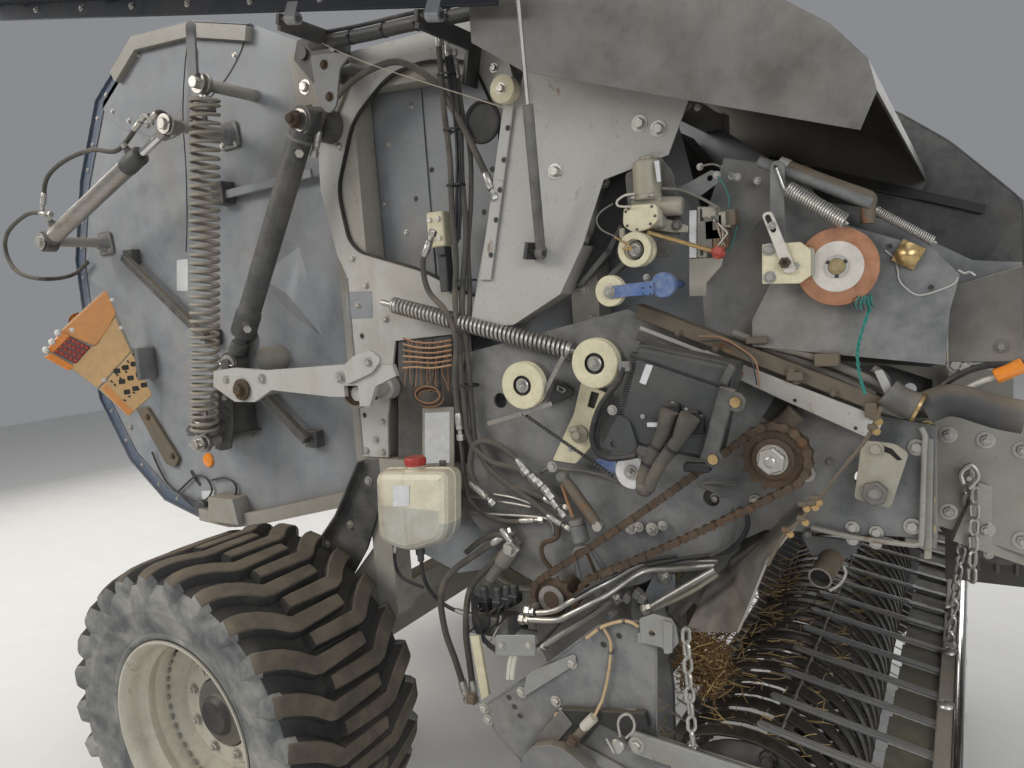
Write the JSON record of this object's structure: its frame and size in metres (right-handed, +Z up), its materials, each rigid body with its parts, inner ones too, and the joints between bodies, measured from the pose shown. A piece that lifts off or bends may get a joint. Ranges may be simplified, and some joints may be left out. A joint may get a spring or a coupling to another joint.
{
  "type": "round baler",
  "caption": "Towed round baler with belt chamber, hinged tailgate on rams, lift-up side covers, pickup with reel, A-frame drawbar, jack and drive shaft.",
  "frame": {"origin": "centre of the towing eye", "axes": "+X forward towards the tractor, along the length; +Y to the left across the machine; +Z up, along the bore of the towing eye"},
  "size_m": [4.947, 3.7952, 3.3016],
  "materials": {
    "frame_paint": "satin paint, dusty",
    "panel_paint": "satin light blue-grey paint",
    "dark_paint": "dark paint, dusty",
    "bare_steel": "worn bare steel",
    "rod_chrome": "polished rod",
    "rusty_steel": "rusty",
    "belt_rubber": "ribbed belt",
    "tyre_rubber": "dusty",
    "rim_paint": "pale grey paint, dirty",
    "black_plastic": "matte",
    "cream_plastic": "worn gloss",
    "board_plastic": "marker board",
    "copper_brake": "copper-coloured disc"
  },
  "bodies": {
    "chassis": {"chassis_frame": "frame_paint", "hinge_brackets": "dark_paint", "cover_hinges": "dark_paint", "chamber_sides": "panel_paint", "window_frames": "frame_paint", "front_panels": "panel_paint", "drive_plates": "dark_paint", "net_box": "panel_paint", "net_bracket": "bare_steel", "net_actuator": "cream_plastic", "drive_sprockets": "rusty_steel", "tension_pulleys": "cream_plastic", "control_box": "black_plastic", "oil_tank": "cream_plastic", "valve_block": "bare_steel", "gearbox": "dark_paint", "drawbar": "frame_paint", "hitch_eye": "dark_paint", "jack_tube": "frame_paint", "pto_guard": "black_plastic", "shield_left": "dark_paint", "front_rollers": "dark_paint", "front_belts": "belt_rubber", "feeder_housing": "dark_paint", "strut_mounts": "dark_paint"},
    "tailgate": {"tailgate_sides": "panel_paint", "tailgate_frame": "frame_paint", "tailgate_rollers": "dark_paint", "tailgate_belts": "belt_rubber", "tension_springs": "rusty_steel", "tension_cylinders": "bare_steel", "light_boards": "board_plastic"},
    "latch_arms": {"latch_arms": "bare_steel"},
    "ram_barrels": {"ram_barrels": "dark_paint"},
    "ram_rods": {"ram_rods": "rod_chrome"},
    "cover_right": {"cover_right": "panel_paint"},
    "cover_left": {"cover_left": "panel_paint"},
    "strut_tube_right": {"strut_tube_right": "dark_paint"},
    "strut_rod_right": {"strut_rod_right": "rod_chrome"},
    "strut_tube_left": {"strut_tube_left": "dark_paint"},
    "strut_rod_left": {"strut_rod_left": "rod_chrome"},
    "hood": {"hood": "frame_paint"},
    "wheel_right": {"tyre_right": "tyre_rubber", "rim_right": "rim_paint"},
    "wheel_left": {"tyre_left": "tyre_rubber", "rim_left": "rim_paint"},
    "pickup": {"pickup_frame": "dark_paint", "pickup_wrappers": "dark_paint"},
    "pickup_reel": {"pickup_reel": "bare_steel"},
    "wind_guard": {"wind_guard": "frame_paint"},
    "gauge_wheel_right": {"gauge_wheel_right": "tyre_rubber"},
    "gauge_wheel_left": {"gauge_wheel_left": "tyre_rubber"},
    "feed_rotor": {"feed_rotor": "bare_steel"},
    "jack_leg": {"jack_leg": "bare_steel"},
    "pto_shaft": {"pto_shaft": "bare_steel"},
    "net_disc": {"net_disc": "copper_brake"}
  },
  "joints": [
    {"name": "tailgate_hinge", "type": "hinge", "parent": "chassis", "child": "tailgate", "pos_m": [-3.35, 0, 2], "axis": [0, 1, 0], "range_deg": [0, 62]},
    {"name": "latch_lift", "type": "hinge", "parent": "tailgate", "child": "latch_arms", "pos_m": [-3.562, 0, 0.93], "axis": [0, -1, 0], "range_deg": [0, 15]},
    {"name": "ram_swing", "type": "hinge", "parent": "chassis", "child": "ram_barrels", "pos_m": [-3.234, 0, 1.745], "axis": [0, 1, 0], "range_deg": [0, 63.9]},
    {"name": "ram_extend", "type": "slide", "parent": "ram_barrels", "child": "ram_rods", "axis": [-0.5145, 0, -0.8575], "range_m": [0, 0.2912]},
    {"name": "cover_right_lower", "type": "hinge", "parent": "chassis", "child": "cover_right", "pos_m": [-3.1, -0.985, 1.97], "axis": [0.977, 0, -0.213], "range_deg": [0, 105]},
    {"name": "cover_left_open", "type": "hinge", "parent": "chassis", "child": "cover_left", "pos_m": [-3.1, 0.985, 1.97], "axis": [0.977, 0, -0.213], "range_deg": [0, 105]},
    {"name": "strut_right_swing", "type": "hinge", "parent": "chassis", "child": "strut_tube_right", "pos_m": [-2.45, -0.82, 1.28], "axis": [0.977, 0, -0.213], "range_deg": [-1, 4]},
    {"name": "strut_right_slide", "type": "slide", "parent": "strut_tube_right", "child": "strut_rod_right", "axis": [0.1945, -0.408, 0.892], "range_m": [-0.2026, 0]},
    {"name": "strut_left_swing", "type": "hinge", "parent": "chassis", "child": "strut_tube_left", "pos_m": [-2.45, 0.82, 1.28], "axis": [0.977, 0, -0.213], "range_deg": [-1, 4]},
    {"name": "strut_left_slide", "type": "slide", "parent": "strut_tube_left", "child": "strut_rod_left", "axis": [0.1911, 0.4423, 0.8763], "range_m": [0, 0.2026]},
    {"name": "hood_lift", "type": "hinge", "parent": "chassis", "child": "hood", "pos_m": [-2.55, 0, 2.02], "axis": [0, -1, 0], "range_deg": [0, 45]},
    {"name": "wheel_right_spin", "type": "hinge", "parent": "chassis", "child": "wheel_right", "pos_m": [-3.55, -1.025, -0.08], "axis": [0, 1, 0], "continuous": true},
    {"name": "wheel_left_spin", "type": "hinge", "parent": "chassis", "child": "wheel_left", "pos_m": [-3.55, 1.025, -0.08], "axis": [0, 1, 0], "continuous": true},
    {"name": "pickup_lower", "type": "hinge", "parent": "chassis", "child": "pickup", "pos_m": [-2.26, 0, 0.31], "axis": [0, 1, 0], "range_deg": [0, 10]},
    {"name": "pickup_reel_spin", "type": "hinge", "parent": "pickup", "child": "pickup_reel", "pos_m": [-1.95, 0, -0.075], "axis": [0, 1, 0], "continuous": true},
    {"name": "wind_guard_lift", "type": "hinge", "parent": "pickup", "child": "wind_guard", "pos_m": [-2.07, 0, 0.07], "axis": [0, -1, 0], "range_deg": [0, 10]},
    {"name": "gauge_wheel_right_spin", "type": "hinge", "parent": "pickup", "child": "gauge_wheel_right", "pos_m": [-1.9, -1.12, -0.32], "axis": [0, 1, 0], "continuous": true},
    {"name": "gauge_wheel_left_spin", "type": "hinge", "parent": "pickup", "child": "gauge_wheel_left", "pos_m": [-1.9, 1.12, -0.32], "axis": [0, 1, 0], "continuous": true},
    {"name": "feed_rotor_spin", "type": "hinge", "parent": "chassis", "child": "feed_rotor", "pos_m": [-2.4, 0, 0.1], "axis": [0, 1, 0], "continuous": true},
    {"name": "jack_raise", "type": "slide", "parent": "chassis", "child": "jack_leg", "axis": [0, 0, 1], "range_m": [0, 0.3]},
    {"name": "pto_shaft_spin", "type": "hinge", "parent": "chassis", "child": "pto_shaft", "pos_m": [-1.15, 0, 0.38], "axis": [1, 0, 0], "continuous": true},
    {"name": "net_disc_spin", "type": "hinge", "parent": "chassis", "child": "net_disc", "pos_m": [-1.735, -0.8, 1.187], "axis": [0, 1, 0], "continuous": true}
  ],
  "couplings": [
    {"joint": "ram_swing", "follows": "tailgate_hinge", "ratio": 1.0145},
    {"joint": "ram_extend", "follows": "tailgate_hinge", "m_per_rad": 0.26629},
    {"joint": "strut_right_swing", "follows": "cover_right_lower", "ratio": 0.02066},
    {"joint": "strut_right_slide", "follows": "cover_right_lower", "m_per_rad": -0.10892},
    {"joint": "strut_left_swing", "follows": "cover_left_open", "ratio": 0.02066},
    {"joint": "strut_left_slide", "follows": "cover_left_open", "m_per_rad": 0.10892}
  ]
}
